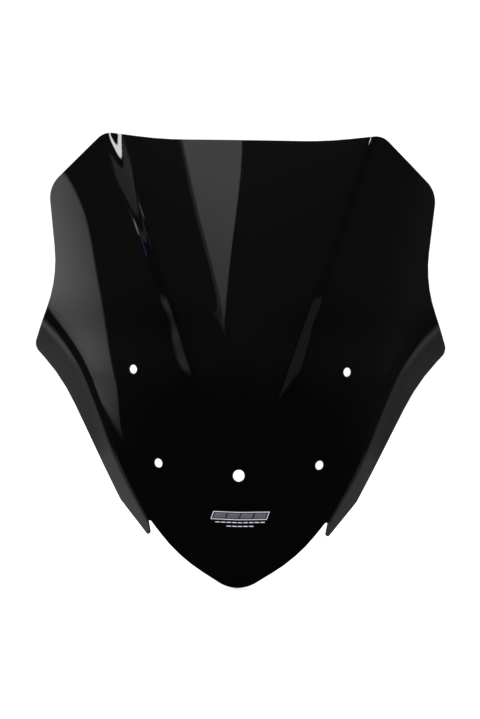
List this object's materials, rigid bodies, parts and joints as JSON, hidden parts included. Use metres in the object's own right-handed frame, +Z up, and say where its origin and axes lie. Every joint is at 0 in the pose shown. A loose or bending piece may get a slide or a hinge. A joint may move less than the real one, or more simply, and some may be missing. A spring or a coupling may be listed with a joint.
{
  "type": "motorcycle windshield screen",
  "caption": "Moulded gloss-black motorcycle windshield screen with swept side panels, folded lower flanges and open fixing holes.",
  "frame": {"origin": "middle of the lower centre hole, on the front face", "axes": "front faces -Y, +Z up along the screen's length, +X to the right of someone looking at the front"},
  "size_m": [0.4534, 0.115, 0.4869],
  "materials": {
    "gloss_black_acrylic": "polished gloss black, opaque",
    "printed_ink": "thin pale screen print"
  },
  "bodies": {
    "root": {"screen_panel": "gloss_black_acrylic", "print_frame": "printed_ink", "print_stripe": "printed_ink", "print_long_bar": "printed_ink", "print_short_bar": "printed_ink"}
  },
  "joints": []
}
